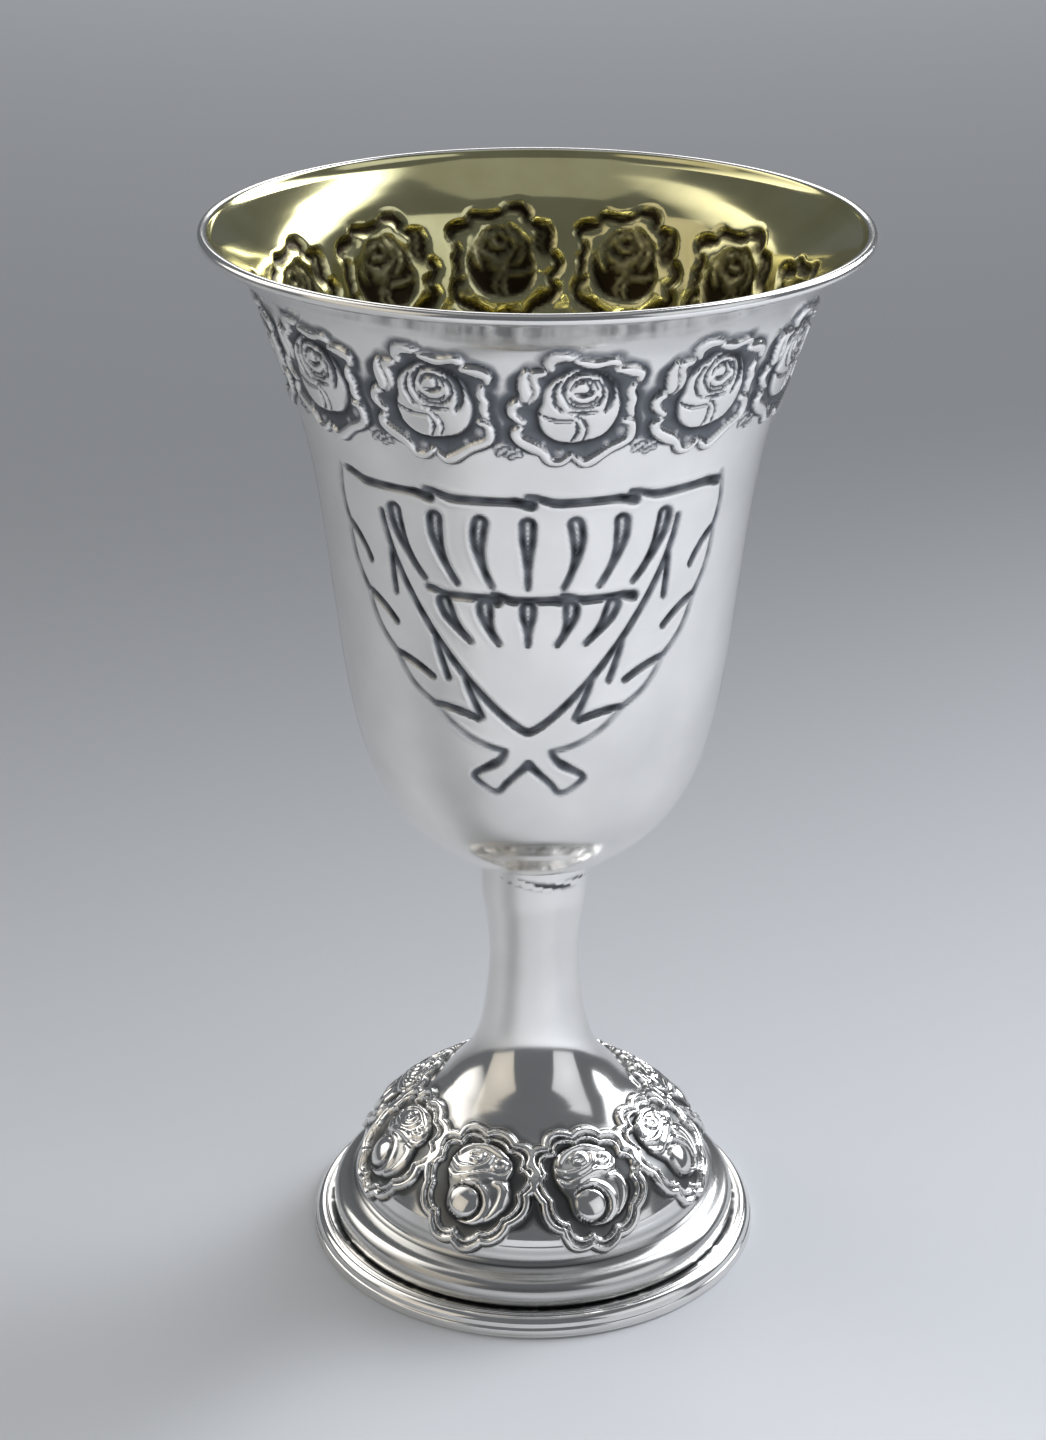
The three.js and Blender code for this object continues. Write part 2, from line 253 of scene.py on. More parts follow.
def rose_tarnish(x, y, parts, die):
    """Tarnish, from 0 to 1, of one rose. The ground between the head and the collar is dark,
    darker in the crevices along them. Outside the collar it fades out within a spread that is
    widest at the sides and least below, and it is paler above. What stands high is polished."""
    smooth = 1 - between(0.1, 0.65, parts["cut"])
    if die["ridges"]:
        raised = np.maximum(between(0.1, 0.6, parts["ridge"]), between(0.1, 0.3, parts["swell"]))
        smooth *= 0.45 + 0.55 * raised
    polished = np.maximum.reduce([
        between(0.12, 0.7, parts["ribbon"]), parts["head"] * smooth, 0.5 * parts["bead"],
        0.8 * between(0.3, 0.8, parts["sprig"])])
    gap, head_gap, inside = parts["gap"], parts["head_gap"], parts["inside"]
    crevice = np.maximum(fading(gap, 0.15), fading(head_gap, 0.4) * between(-1.2, 0.1, head_gap))
    side = between(-5.4, -4.2, y) * between(4.6, 3.2, y)
    uneven = 1 + 0.3 * np.sin(1.9 * x + 0.7) * np.cos(1.1 * y - 0.5)
    spread = uneven * (0.4 + 0.7 * between(-5.8, -3.4, y) + 0.9 * side)
    top = 1 - 0.3 * between(3.6, 5.2, y)
    outside = np.maximum(
        top * between(spread, 0.2 * spread, gap), between(0.4, 0.1, parts["sprig_gap"]))
    shade = die["ground"] - 0.22 * inside * fading(gap, 0.5)
    return (shade + die["crevice"] * crevice) * np.maximum(inside, outside) * (1 - polished)


def struck_rose(x, y, die):
    """Height, from 0 to 1, and tarnish, from 0 to 1, of one rose. Leaves are round-topped
    ribbons. The head is a low dome with round swells and ridges on it and petal edges cut into
    it. The blade of each leaf falls away from its ribbon towards the head."""
    ribbon, gap = ribbons(x, y, die["leaves"], die["widening"])
    sprig, sprig_gap = ribbons(x, y, die["sprigs"])
    ridge, _ = ribbons(x, y, die["ridges"])
    bead, swell = np.zeros((2, len(x)))
    for middle_x, middle_y, radius in die["beads"]:
        inward = 1 - np.hypot(x - middle_x, y - middle_y) / radius
        bead = np.maximum(bead, np.clip(inward, 0, 1) ** 0.5)
    for middle_x, middle_y, radius, share in die["swells"]:
        outward = np.hypot(x - middle_x, y - middle_y) / radius
        swell = np.maximum(swell, share * np.sqrt(np.clip(1 - outward**2, 0, 1)))
    beyond, _ = reach(x, y, np.vstack([curve(leaf) for leaf in die["leaves"]]))
    inside = between(0.2, -0.4, beyond)

    head_gap, outward = reach(x, y, closed(die["head"]))
    head = between(0.12, -0.3, head_gap)
    cut = arcs(x, y, die["petals"])
    bulge = DOME_BULGE * np.clip(1 - outward**2, 0, 1)
    dome = head * (die["crown"] + swell + RIDGE_HEIGHT * ridge + bulge - CUT_DEPTH * cut)
    blade = die["blade"] * inside * fading(gap, 0.8)
    height = np.maximum.reduce([
        RIBBON_HEIGHT * ribbon, dome, blade, BEAD_HEIGHT * bead, SPRIG_HEIGHT * sprig])
    parts = {
        "ribbon": ribbon, "gap": gap, "sprig": sprig, "sprig_gap": sprig_gap, "bead": bead,
        "ridge": ridge, "swell": swell, "cut": cut, "head": head, "head_gap": head_gap,
        "inside": inside,
    }
    return height, rose_tarnish(x, y, parts, die)


BOWL_DIE = {
    "leaves": BOWL_LEAVES, "sprigs": BOWL_SPRIGS, "beads": BOWL_BEADS, "petals": BOWL_PETALS,
    "head": BOWL_HEAD, "swells": [], "ridges": [], "crown": 0.7, "widening": 1.45,
    "blade": 0.36, "ground": 0.7, "crevice": 0.3,
}
BOWL_ROSES = {"count": 12, "first": 10.0, "height": 117.6, "rise": 0.7}


def wreath(angle, radius, up, roses, die):
    """Height and tarnish of a ring of like roses at points given by their angle round the cup,
    their radius and how far they are up from the roses' middles. Each point takes the higher of
    the two roses that stand nearest to it, and the darker ground of them."""
    pitch = 2 * np.pi / roses["count"]
    turn = (angle - np.radians(roses["first"]) + pitch / 2) % pitch - pitch / 2
    height, dark = struck_rose(turn * radius, up, die)
    other = turn - np.sign(turn) * pitch
    height_other, dark_other = struck_rose(other * radius, up, die)
    own = height >= height_other
    low = np.maximum(height, height_other) < 0.3
    dark = np.where(low, np.maximum(dark, dark_other), np.where(own, dark, dark_other))
    return roses["rise"] * np.maximum(height, height_other), dark


# The chased panel. Points are across from its middle and up from where the stems cross. A line
# is (across, up, half width), and the spray is given for the right side.
PANEL_ANGLE = np.radians(-2.0)
PANEL_CROSSING = 75.3
GROOVE_DEPTH = 0.3
BURR_HEIGHT = 0.05
TOOL_HALF_WIDTH = 0.6  # a groove wider than the tool has a floor between its walls
SPRAY_OUTSIDE = [(24, 31.5), (24.5, 18.7), (13.5, 3.7), (2.6, -0.3)]
SPRAY_INSIDE = [(17.5, 27.5), (16.2, 18.0), (2.2, 2.3), (0, 2.3)]
STEM_END = [(2.6, -0.3), (3.4, -1.8), (6.1, -3.7), (5.9, -4.6), (3.7, -6.0), (2.4, -4.6), (0, -2.0)]
LEAVES_OUTSIDE = (0.17, 0.37, 0.56, 0.74)  # where leaves start, as shares of the edge
LEAVES_INSIDE = (0.14, 0.43, 0.58)
LEAF_LENGTH = 5.4
LEAF_TURN_OUTSIDE = 0.68  # radians between a leaf's stroke and the edge that it leaves
LEAF_TURN_INSIDE = 0.45
SCALLOPS = ((23, 31.5, 4, 0.9), (11.5, 19.4, 3, 0.7))  # half length, top, count and sag
STROKES = ((7, 4.6, 24.2, 7.6), (5, 4.0, 15.6, 4.4))  # count, spacing, middle and length


def bezier(ends, t):
    """The cubic through its first and last point, pulled towards the two between them."""
    t = np.asarray(t, float)[:, None]
    a, b, c, d = (np.array(p, float) for p in ends)
    return (1 - t) ** 3 * a + 3 * t * (1 - t) ** 2 * b + 3 * t**2 * (1 - t) * c + t**3 * d


def widen(points, widths):
    """A line with its half width in a third column, interpolated along it."""
    along = np.linspace(0, 1, len(points))
    return np.column_stack([points, np.interp(along, np.linspace(0, 1, len(widths)), widths)])


def spray_lines():
    """The chased lines of the right-hand spray: its outer edge, stopped at each leaf, its inner
    edge, the cut stem, and a stroke that starts at each stop and turns into the spray."""
    lines = []
    stops = (0.0, *LEAVES_OUTSIDE, 1.0)
    for first, last in zip(stops[:-1], stops[1:]):
        t = np.linspace(first, last, 12)
        edge = bezier(SPRAY_OUTSIDE, t)
        swell = 0.35 * np.sin(np.pi * (t - first) / (last - first))
        lines.append(widen(edge + np.column_stack([swell, -swell]), (0.2, 0.3, 0.3, 0.38)))
    lines.append(widen(bezier(SPRAY_INSIDE, np.linspace(0, 1, 30)), (0.4, 0.5, 0.6, 0.65)))
    lines.append(widen(curve(STEM_END, 5), (0.4, 0.75, 0.4, 0.35, 0.45, 0.75)))
    outside = [(SPRAY_OUTSIDE, place, -LEAF_TURN_OUTSIDE) for place in LEAVES_OUTSIDE]
    inside = [(SPRAY_INSIDE, place, LEAF_TURN_INSIDE) for place in LEAVES_INSIDE]
    for ends, place, turn in outside + inside:
        here, after = bezier(ends, (place, place + 0.01))
        along = np.linspace(0.3, LEAF_LENGTH, 8)
        heading = np.arctan2(*(after - here)[::-1]) + turn * (1 - 0.05 * along)
        stroke = here + np.column_stack([np.cos(heading), np.sin(heading)]) * along[:, None]
        lines.append(widen(stroke, (0.45, 0.6, 0.6, 0.5)))
    return lines


def panel_lines():
    """All the chased lines: a spray and its mirror image, and over each row of upright strokes
    a line of overlapping scallops. The strokes lean apart from the middle."""
    lines = spray_lines()
    lines += [line * (-1, 1, 1) for line in spray_lines()]
    for half, top, count, sag in SCALLOPS:
        for i in range(count):
            t = np.linspace(0, 1, 14)
            across = half * (2 * (i + t) / count - 1) + 0.5 * t
            up = top - sag * (between(0, 0.3, t) - 0.35 * t + 0.5 * between(0.85, 1, t))
            lines.append(widen(np.column_stack([across, up]), (0.45, 0.65, 0.6, 0.6, 0.8)))
    for count, spacing, middle, length in STROKES:
        for i in range(count):
            across = (i - (count - 1) / 2) * spacing
            end = np.linspace(1, -1, 12)
            curl = 0.1 * length * (1 - end**2) * np.sign(across)
            lean = across / count * end
            stroke = np.column_stack([across + lean + curl, middle + end * length / 2])
            lines.append(widen(stroke, (1.15, 1.1, 0.8, 0.6, 0.4)))
    return lines


def chased_panel(angle, radius, z):
    """Depth and tarnish of the panel. A narrow groove is darkest at its bottom, a wide one
    along its walls, and the tool throws up a low burr beside both. The grime in them is uneven:
    it has been rubbed thinner at places."""
    x, y = (angle - PANEL_ANGLE) * radius, z - PANEL_CROSSING
    deep, burr, stain, core = np.zeros((4, len(x)))
    beyond = 2  # past this a line has no effect
    for line in panel_lines():
        low, high = line[:, :2].min(0) - beyond, line[:, :2].max(0) + beyond
        near = np.flatnonzero((x > low[0]) & (x < high[0]) & (y > low[1]) & (y < high[1]))
        away, half = nearest(x[near], y[near], line)
        wall = np.maximum(half - TOOL_HALF_WIDTH, 0)
        share = np.minimum(1, half / 0.5)  # a fine line is shallower
        deep[near] = np.maximum(deep[near], share * between(half + 0.1, wall, away))
        burr[near] = np.maximum(burr[near], np.exp(-(((away - half - 0.2) / 0.22) ** 2)))
        off = np.abs(away - wall * 1.1)
        stain[near] = np.maximum(stain[near], share * between(0.68, 0.3, off))
        core[near] = np.maximum(core[near], share * between(0.42, 0.05, off))
    rubbed = 0.5 + 0.5 * np.sin(1.3 * x + 0.9 * y + 0.5) * np.cos(0.8 * x - 1.7 * y)
    tarnish = (0.62 - 0.1 * rubbed) * stain + (0.38 - 0.22 * rubbed) * core
    return BURR_HEIGHT * burr * (1 - deep) - GROOVE_DEPTH * deep, tarnish


def even(count):
    """Angles evenly round the cup, from its back."""
    return -np.pi + 2 * np.pi * np.arange(count) / count


def finer(count, middle, half, spacing):
    """Angles evenly round the cup, and closer together within half of the middle angle. The
    wider ones keep a little clear of the closer ones."""
    window = np.linspace(middle - half, middle + half, round(2 * half / spacing) + 1)
    rest = even(count)
    return np.sort(np.append(rest[np.abs(rest - middle) > half * 1.02], window))


def rings(profile, angles):
    """Rings of points for a stretch of outline. Every second ring is turned by half a step, so
    that the triangles between them are nearly even-sided."""
    halfway = (angles + np.append(angles[1:], np.pi)) / 2
    return [(row, halfway if i % 2 else angles) for i, row in enumerate(profile)]


METRES = 0.001  # to a millimetre


def turned(profile, relief, name, closes=False):
    """A closed mesh from rings that share an axis. Each ring has its own angles, so that there
    are more of them where the work is fine, and two rings are joined by triangles that step
    round both of them in order of angle. The last ring joins the first where the profile
    closes, and otherwise both are single points on the axis. relief gives how far each point
    is lifted out of the sheet, and the marks that its material reads."""
    counts = np.array([len(angles) for _, angles in profile])
    firsts = np.append(0, np.cumsum(counts)[:-1])
    base = np.repeat([row for row, _ in profile], counts, axis=0)
    angle = np.concatenate([angles for _, angles in profile])
    height, marks = relief(angle, base)
    r, z = base[:, 0] + base[:, 2] * height, base[:, 1] + base[:, 3] * height
    points = np.column_stack([r * np.sin(angle), -r * np.cos(angle), z])

    faces = []
    tie = 1e-9  # of two steps that end at the same angle, the lower ring's comes first
    for i in range(len(profile) if closes else len(profile) - 1):
        j = (i + 1) % len(profile)
        (a, n, low), (b, m, high) = ((profile[k][1], counts[k], firsts[k]) for k in (i, j))
        a_end, b_end = np.append(a[1:], np.pi), np.append(b[1:], np.pi)
        corner = np.searchsorted(b_end, a_end - tie)
        faces.append(np.column_stack([
            low + np.arange(n), low + (np.arange(n) + 1) % n, high + corner % m]))
        corner = np.searchsorted(a_end, b_end + tie)
        faces.append(np.column_stack([
            low + corner % n, high + (np.arange(m) + 1) % m, high + np.arange(m)]))
    faces = np.vstack(faces)
    a, b, c = faces.T
    faces = faces[(a != b) & (b != c) & (c != a)]  # a ring of one point has no sides

    mesh = bpy.data.meshes.new(name)
    mesh.vertices.add(len(points))
    mesh.vertices.foreach_set("co", (points * METRES).astype(np.float32).ravel())
    mesh.loops.add(faces.size)
    mesh.loops.foreach_set("vertex_index", faces.astype(np.int32).ravel())
    mesh.polygons.add(len(faces))
    mesh.polygons.foreach_set("loop_start", np.arange(0, faces.size, 3, dtype=np.int32))
    mesh.update(calc_edges=True)
    mesh.validate()
    mesh.shade_smooth()
    for mark, values in marks.items():
        layer = mesh.attributes.new(mark, "FLOAT", "POINT")
        layer.data.foreach_set("value", values.astype(np.float32))
    piece = bpy.data.objects.new(name, mesh)
    bpy.context.scene.collection.objects.link(piece)
    return piece


# Heights of the stretches that carry relief, and the angle to each side of the panel's middle.
PANEL_FROM, PANEL_TO = 67.8, 108.7
PANEL_REACH = 1.1
ROSES_FROM, ROSES_TO = 110.0, 126.0
BEHIND_ROSES_FROM = 110.3


def bowl_rings():
    """The bowl's rings, from under its middle up the outside, over the lip and down inside.
    They are closest where the relief is, and their points too: round the panel only within the
    angle that it takes up at that height, and on the roses all the way round."""
    outside = outline(BOWL_KNOTS, 0.0, 0.05)
    inside = outline(BOWL_KNOTS, -BOWL_SHEET, 0.05)

    def band(sheet, low, high, spacing):
        """The part of a sheet's outline between two heights, at even steps."""
        return evenly(sheet[(sheet[:, 1] >= low) & (sheet[:, 1] < high)], spacing)

    def chased(low, high, half, radius):
        """Rings of the panel between two heights, fine within half of its middle, in degrees."""
        window = finer(60, PANEL_ANGLE, np.radians(half), FINE / radius)
        return rings(band(outside, low, high, FINE), window)

    lip = np.radians(np.linspace(-45, 168, 14))
    roll = np.column_stack([np.cos(lip), np.sin(lip), np.cos(lip), np.sin(lip)])
    roll[:, :2] = roll[:, :2] * LIP_ROLL + (RIM_RADIUS - LIP_ROLL, CUP_HEIGHT - LIP_ROLL)
    return (
        rings([(0, SOLDER_HEIGHT, 0, -1)], even(1))
        + rings([(NECK_RADIUS - 3.0, SOLDER_HEIGHT, 0, -1)], even(60))
        + rings(band(outside, 0, PANEL_FROM, 0.95), even(110))
        + chased(67.9, 77.8, 26, 22.0)
        + chased(77.9, 88.2, 49, 23.5)
        + chased(88.3, 108.6, 58, 25.0)
        + rings(band(outside, 108.9, 110.2, 0.5), even(360))
        + rings(band(outside, 110.4, 125.0, 0.26), even(740))
        + rings(band(outside, 125.3, 128.6, 0.4), even(180))
        + rings(roll, even(180))
        + rings(band(inside, 126.0, 128.9, 0.5)[::-1], even(180))
        + rings(band(inside, 110.5, 125.6, 0.42)[::-1], even(350))
        + rings(band(inside, 0, 110.2, 1.9)[::-1], even(80))
        + rings([(0, SOLDER_HEIGHT + BOWL_SHEET, 0, -1)], even(1))
    )


def bowl_relief(angle, base):
    """Relief of the bowl. Outside it is the roses and the panel. Inside, the sheet shows the
    roses from behind, softer, as the mean of the die at points close round each one. Grime
    fills the hollows and is rubbed off the ridges behind the petal lines."""
    r, z = base[:, 0], base[:, 1]
    sheet = outline(BOWL_KNOTS, 0.0, 0.1)
    outer = r > np.interp(z, sheet[:, 1], sheet[:, 0]) - BOWL_SHEET / 3
    height, tarnish = np.zeros((2, len(r)))
    band = np.flatnonzero(outer & (z > ROSES_FROM) & (z < ROSES_TO))
    height[band], tarnish[band] = wreath(
        angle[band], r[band], z[band] - BOWL_ROSES["height"], BOWL_ROSES, BOWL_DIE)
    near = outer & (np.abs(angle - PANEL_ANGLE) < PANEL_REACH)
    panel = np.flatnonzero(near & (z > PANEL_FROM) & (z < PANEL_TO))
    height[panel], tarnish[panel] = chased_panel(angle[panel], r[panel], z[panel])
    back = np.flatnonzero(~outer & (z > BEHIND_ROSES_FROM) & (z < ROSES_TO))
    soft = 0.15  # how far off each point the die is read
    for dx, dy in ((soft, soft), (-soft, soft), (soft, -soft), (-soft, -soft)):
        up = z[back] - BOWL_ROSES["height"] + dy
        pressed, dark = wreath(
            angle[back] + dx / r[back], r[back] + BOWL_SHEET, up, BOWL_ROSES, BOWL_DIE)
        height[back] += pressed / 4
        tarnish[back] += dark / 4
    hollow = between(0.12, 0.5, height[back] / BOWL_ROSES["rise"])
    tarnish[back] = hollow * (1 - 0.6 * tarnish[back])
    return height, {"tarnish": tarnish, "gilt": (~outer).astype(float)}


bowl = turned(bowl_rings(), bowl_relief, "bowl_sheet")


def linear(hex_colour):
    """An sRGB hex colour as the linear red, green, blue and alpha that shaders work in."""
    s = np.array([int(hex_colour[i:i + 2], 16) for i in (1, 3, 5)]) / 255
    return (*np.where(s <= 0.04045, s / 12.92, ((s + 0.055) / 1.055) ** 2.4), 1.0)


def node(tree, kind, inputs=None, **settings):
    """Adds a node with its settings, and sets or links each of its named inputs."""
    made = tree.nodes.new(kind)
    for name, value in settings.items():
        setattr(made, name, value)
    for name, value in (inputs or {}).items():
        if isinstance(value, bpy.types.NodeSocket):
            tree.links.new(value, made.inputs[name])
        else:
            made.inputs[name].default_value = value
    return made


def new_material(name):
    """A new material whose tree is empty."""
    material = bpy.data.materials.new(name)
    material.use_nodes = True
    material.node_tree.nodes.clear()
    return material, material.node_tree


def per_metre(millimetre_size):
    """The scale of a pattern on Object coordinates whose features are so many millimetres."""
    return 1000 / millimetre_size


SILVER = "#F6F4F1"
SULPHIDE_THIN = "#717479"  # where it was left on purpose, in the ground of the roses
SULPHIDE_DEEP = "#1E1E1F"
BREATH = 11.1  # mm across, the clouds of tarnish that a hand leaves
DENT = 14.3  # mm across, the unevenness of sheet worked by hand
HAIRLINE = 0.238  # mm apart, drawn coarser than the real ones, which are too fine to show


def silver(name, rough, scratch, dent, sulphide):
    """Sterling silver, polished by hand: a nearly white mirror with a breath of tarnish, upright
    hairlines from the polishing cloth as strong as scratch, and a sheet uneven by dent, in
    metres, which bends its reflections. Where the mesh is marked as tarnished it goes to the
    sulphide's grey and then nearly black, and duller."""
    material, tree = new_material(name)
    place = node(tree, "ShaderNodeTexCoord").outputs["Object"]
    mark = node(tree, "ShaderNodeAttribute", attribute_name="tarnish").outputs["Fac"]
    cloud = node(tree, "ShaderNodeTexNoise", {
        "Vector": place, "Scale": per_metre(BREATH), "Detail": 3.0})
    stretch = node(tree, "ShaderNodeMapping", {"Vector": place, "Scale": (1.0, 1.0, 0.15)})
    hair = node(tree, "ShaderNodeTexNoise", {
        "Vector": stretch.outputs["Vector"], "Scale": per_metre(HAIRLINE), "Detail": 2.0})
    breath = node(tree, "ShaderNodeMapRange", {
        "Value": cloud.outputs["Fac"], "From Min": 0.35, "From Max": 0.75,
        "To Min": 0.0, "To Max": 0.1})
    dark = node(tree, "ShaderNodeMath", {0: mark, 1: breath.outputs["Result"]}, operation="MAXIMUM")
    ramp = node(tree, "ShaderNodeValToRGB", {"Fac": dark.outputs["Value"]})
    ramp.color_ramp.elements[0].color = linear(SILVER)
    ramp.color_ramp.elements[1].color = linear(SULPHIDE_DEEP)
    middle = ramp.color_ramp.elements.new(0.6)
    middle.color = linear(sulphide)
    roughness = node(tree, "ShaderNodeMapRange", {
        "Value": dark.outputs["Value"], "To Min": rough, "To Max": 0.5})
    dents = node(tree, "ShaderNodeTexNoise", {
        "Vector": place, "Scale": per_metre(DENT), "Detail": 1.0})
    sheet = node(tree, "ShaderNodeBump", {
        "Height": dents.outputs["Fac"], "Strength": 1.0, "Distance": dent})
    bump = node(tree, "ShaderNodeBump", {
        "Height": hair.outputs["Fac"], "Strength": scratch, "Distance": 0.00002,
        "Normal": sheet.outputs["Normal"]})
    shader = node(tree, "ShaderNodeBsdfPrincipled", {
        "Base Color": ramp.outputs["Color"], "Metallic": 1.0,
        "Roughness": roughness.outputs["Result"], "Normal": bump.outputs["Normal"]})
    node(tree, "ShaderNodeOutputMaterial", {"Surface": shader.outputs["BSDF"]})
    return material


GILT_PALE = "#E0DAAB"
GILT_FULL = "#CEC793"
GRIME = "#2B2318"
WASH = 8.33  # mm across, the clouds in which the gilding is thinner
MIX_A, MIX_B, MIX_RESULT = 6, 7, 2  # the colour sockets of a Mix node


def gilding(name):
    """A thin wash of gold over silver: pale and greenish, worn in soft clouds, with dark dull
    grime in the hollows behind the roses."""
    material, tree = new_material(name)
    place = node(tree, "ShaderNodeTexCoord").outputs["Object"]
    mark = node(tree, "ShaderNodeAttribute", attribute_name="tarnish").outputs["Fac"]
    cloud = node(tree, "ShaderNodeTexNoise", {
        "Vector": place, "Scale": per_metre(WASH), "Detail": 4.0})
    worn = node(tree, "ShaderNodeMapRange", {
        "Value": cloud.outputs["Fac"], "From Min": 0.3, "From Max": 0.7})
    wash = node(tree, "ShaderNodeMix", {
        "Factor": worn.outputs["Result"], MIX_A: linear(GILT_PALE), MIX_B: linear(GILT_FULL)},
        data_type="RGBA")
    grime = node(tree, "ShaderNodeMix", {
        "Factor": mark, MIX_A: wash.outputs[MIX_RESULT], MIX_B: linear(GRIME)},
        data_type="RGBA")
    roughness = node(tree, "ShaderNodeMapRange", {"Value": mark, "To Min": 0.12, "To Max": 0.4})
    shader = node(tree, "ShaderNodeBsdfPrincipled", {
        "Base Color": grime.outputs[MIX_RESULT], "Metallic": 1.0,
        "Roughness": roughness.outputs["Result"]})
    node(tree, "ShaderNodeOutputMaterial", {"Surface": shader.outputs["BSDF"]})
    return material


# Silver struck in a die and rubbed with a cloth is the softest mirror of the cup.
bowl.data.materials.append(silver("sterling_silver_struck", 0.13, 0.2, 0.00025, SULPHIDE_THIN))
bowl.data.materials.append(gilding("gilding_worn_thin"))

# The inner wall, from the lip down, takes the gilding.
gilt = np.zeros(len(bowl.data.vertices), np.float32)
bowl.data.attributes["gilt"].data.foreach_get("value", gilt)
corners = np.zeros(len(bowl.data.loops), np.int32)
bowl.data.loops.foreach_get("vertex_index", corners)
inner_faces = (gilt[corners.reshape(-1, 3)].min(1) > 0.5).astype(np.int32)
bowl.data.polygons.foreach_set("material_index", inner_faces)
bowl.data.attributes.remove(bowl.data.attributes["gilt"])
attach(bowl, "root")
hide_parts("bowl")

# ---------------------------------------------------------------------------------------------
# Stem and foot. One hollow shell, spun up from sheet: a short collar under the bowl, a waisted
# stem, a dome with eight struck roses, a cove and an upright band. It is polished bright.
# ---------------------------------------------------------------------------------------------
FOOT_SHEET = 0.7
RING_HEIGHT = millimetres(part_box("stem_and_foot")[0][2])  # the band stands on the wire here
BAND_RADIUS = millimetres(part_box("stem_and_foot")[1][0])
BAND_TOP = 5.0
DOME_FROM, DOME_TO = 7.25, 21.2  # heights between which the dome has its roses

# The outside of the sheet: the dome and the stem up to the collar, and the band with its cove.
FOOT_KNOTS = [
    (22.4, 7.2), (21.8, 10.0), (20.0, 13.0), (17.2, 15.6), (13.8, 18.1), (10.8, 21.0),
    (7.9, 24.8), (6.3, 30.0), (5.55, 38.0), (6.05, 44.0), (NECK_RADIUS, 46.3),
]
BAND_KNOTS = [
    (BAND_RADIUS, RING_HEIGHT), (BAND_RADIUS, 4.2), (25.3, BAND_TOP), (24.6, 5.7), (23.6, 6.1),
    (22.9, 6.6), (22.5, 7.0),
]

# The die of one rose of the foot, in the same terms as the bowl's. A ridge is a ribbon on the
# head, and a swell is a round pillow of (across, up, radius, height).
COLLAR_LOBES = 11
COLLAR_HALF_WIDTH, COLLAR_HALF_HEIGHT = 7.1, 7.4


def rope(size, half):
    """A closed line of round lobes with sharp cusps between them, on an upright oval: each lobe
    stands out as the first half of a sine does, by a height that varies round the oval."""
    turn = np.linspace(0, 2 * np.pi, 20 * COLLAR_LOBES + 1)
    uneven = 1 + 0.35 * np.sin(3 * turn + 1)
    lobe = size * (0.9 + 0.12 * uneven * np.abs(np.sin(COLLAR_LOBES * turn / 2 + 0.4)) ** 0.8)
    across = COLLAR_HALF_WIDTH * lobe * np.cos(turn)
    up = COLLAR_HALF_HEIGHT * lobe * np.sin(turn)
    return np.column_stack([across, up, np.full(len(turn), half)])


FOOT_HEAD = [
    (3.7, 1.5), (3.8, 2.9), (3.2, 4.1), (1.7, 5.1), (0.1, 5.6), (-1.3, 5.2), (-2.8, 4.8),
    (-3.8, 3.2), (-4.0, 1.8), (-3.7, 0.2), (-3.1, -1.3), (-2.9, -2.5), (-2.5, -3.7), (-1.1, -4.5),
    (0.4, -4.8), (1.8, -4.4), (3.1, -3.9), (4.2, -3.0), (4.7, -1.6), (4.3, 0.1),
]
FOOT_RIDGES = [
    [(-1.6, 0.1, 0.2), (-0.3, 0.3, 0.35), (0.9, -0.1, 0.4), (1.8, -1.0, 0.45), (2.2, -2.2, 0.5),
     (1.9, -3.4, 0.45), (1.1, -4.2, 0.4), (0.0, -4.6, 0.35), (-1.2, -4.4, 0.3), (-2.4, -3.7, 0.25)],
    [(2.5, 0.7, 0.3), (3.4, 0.4, 0.45), (3.9, -0.6, 0.55), (3.8, -1.9, 0.5), (3.2, -3.0, 0.35),
     (2.6, -3.7, 0.2)],
    [(-3.9, 1.1, 0.2), (-3.0, 0.5, 0.35), (-1.8, 0.7, 0.4), (-0.5, 1.3, 0.4), (0.9, 1.6, 0.4),
     (2.2, 1.5, 0.4), (3.4, 1.7, 0.35), (3.9, 2.5, 0.2)],
    [(-3.7, 2.5, 0.2), (-2.8, 1.8, 0.35), (-1.5, 1.8, 0.35), (-0.2, 2.2, 0.35), (0.8, 2.8, 0.3),
     (1.1, 3.7, 0.2)],
    [(-1.3, 3.1, 0.2), (-0.6, 2.8, 0.25), (0.0, 3.1, 0.25), (0.0, 3.8, 0.25), (-0.7, 4.1, 0.25),
     (-1.5, 3.7, 0.2)],
    [(1.7, 2.5, 0.2), (2.3, 2.3, 0.25), (3.0, 2.7, 0.25), (2.8, 3.4, 0.25), (2.0, 3.4, 0.2)],
    [(-3.1, 3.4, 0.2), (-2.4, 4.3, 0.35), (-1.2, 5.0, 0.4), (0.2, 5.2, 0.4), (1.6, 4.7, 0.4),
     (2.9, 4.0, 0.3)],
]
FOOT_DIE = {
    "leaves": [rope(1.0, 0.5), rope(0.86, 0.14)], "sprigs": [], "beads": [],
    "petals": [(-0.7, -2.2, 2.15, -150, 140, 0.14)], "head": FOOT_HEAD,
    "swells": [(-0.75, -2.1, 1.9, 0.5), (-0.3, 3.1, 3.1, 0.38), (-0.6, 3.4, 1.0, 0.5)],
    "ridges": FOOT_RIDGES, "crown": 0.38, "widening": 1.0, "blade": 0.1, "ground": 0.66,
    "crevice": 0.34,
}
FOOT_ROSES = {"count": 8, "first": 22.5, "height": 14.5, "rise": 0.85}
SPUN_DEPTH = 0.02
SEAM_GRIME = 0.85  # tarnish of the grime in a soldered seam


